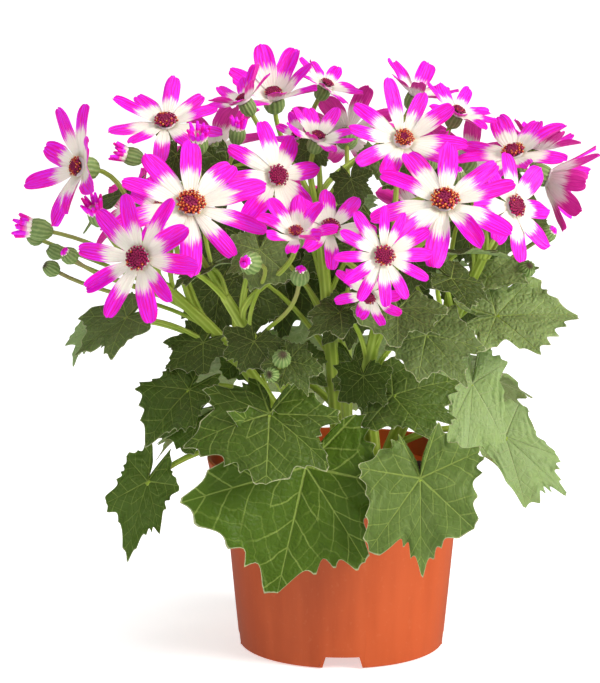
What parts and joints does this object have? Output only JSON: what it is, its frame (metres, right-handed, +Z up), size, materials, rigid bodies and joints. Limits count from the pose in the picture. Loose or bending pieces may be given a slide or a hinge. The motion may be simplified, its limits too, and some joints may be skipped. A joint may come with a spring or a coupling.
{
  "type": "potted flowering plant",
  "caption": "Cineraria in a terracotta plastic nursery pot, with magenta and white daisy heads, dark discs, buds and lobed leaves on branching stems.",
  "frame": {"origin": "centre of the flat underside of the pot, on the surface it stands on", "axes": "+Z up along the pot's axis; -Y toward the side of the plant that faces the picture; +X to the picture's right"},
  "size_m": [0.306, 0.2705, 0.3153],
  "materials": {
    "pot": "satin",
    "mix": "matte",
    "green": "matte",
    "rays": "matte",
    "disc": "matte"
  },
  "bodies": {
    "root": {"pot": "pot", "soil": "mix", "stem_left": "green", "stem_front_left": "green", "stem_front_right": "green", "stem_right": "green", "stem_middle": "green", "stem_back": "green", "bloom_01_rays": "rays", "bloom_01_disc": "disc", "bloom_02_rays": "rays", "bloom_02_disc": "disc", "bloom_03_rays": "rays", "bloom_03_disc": "disc", "bloom_04_rays": "rays", "bloom_04_disc": "disc", "bloom_05_rays": "rays", "bloom_06_rays": "rays", "bloom_07_rays": "rays", "bloom_07_disc": "disc", "bloom_08_rays": "rays", "bloom_08_disc": "disc", "bloom_09_rays": "rays", "bloom_10_rays": "rays", "bloom_10_disc": "disc", "bloom_11_rays": "rays", "bloom_11_disc": "disc", "bloom_12_rays": "rays", "bloom_12_disc": "disc", "bloom_13_rays": "rays", "bloom_13_disc": "disc", "bloom_14_rays": "rays", "bloom_14_disc": "disc", "bloom_15_rays": "rays", "bloom_15_disc": "disc", "bloom_16_rays": "rays", "bloom_17_rays": "rays", "bloom_17_disc": "disc", "bloom_18_rays": "rays", "bloom_18_disc": "disc", "bloom_19_rays": "rays", "bloom_19_disc": "disc", "bloom_20_rays": "rays", "bloom_20_disc": "disc", "bloom_21_rays": "rays", "bloom_22_rays": "rays", "bloom_22_disc": "disc", "bloom_23_rays": "rays", "bloom_24_rays": "rays", "bloom_25_rays": "rays", "bloom_25_disc": "disc", "bloom_26_rays": "rays", "bloom_26_disc": "disc", "bloom_27_rays": "rays", "bloom_27_disc": "disc", "bloom_28_rays": "rays", "bloom_29_rays": "rays", "bloom_29_disc": "disc", "bloom_30_rays": "rays"}
  },
  "joints": []
}
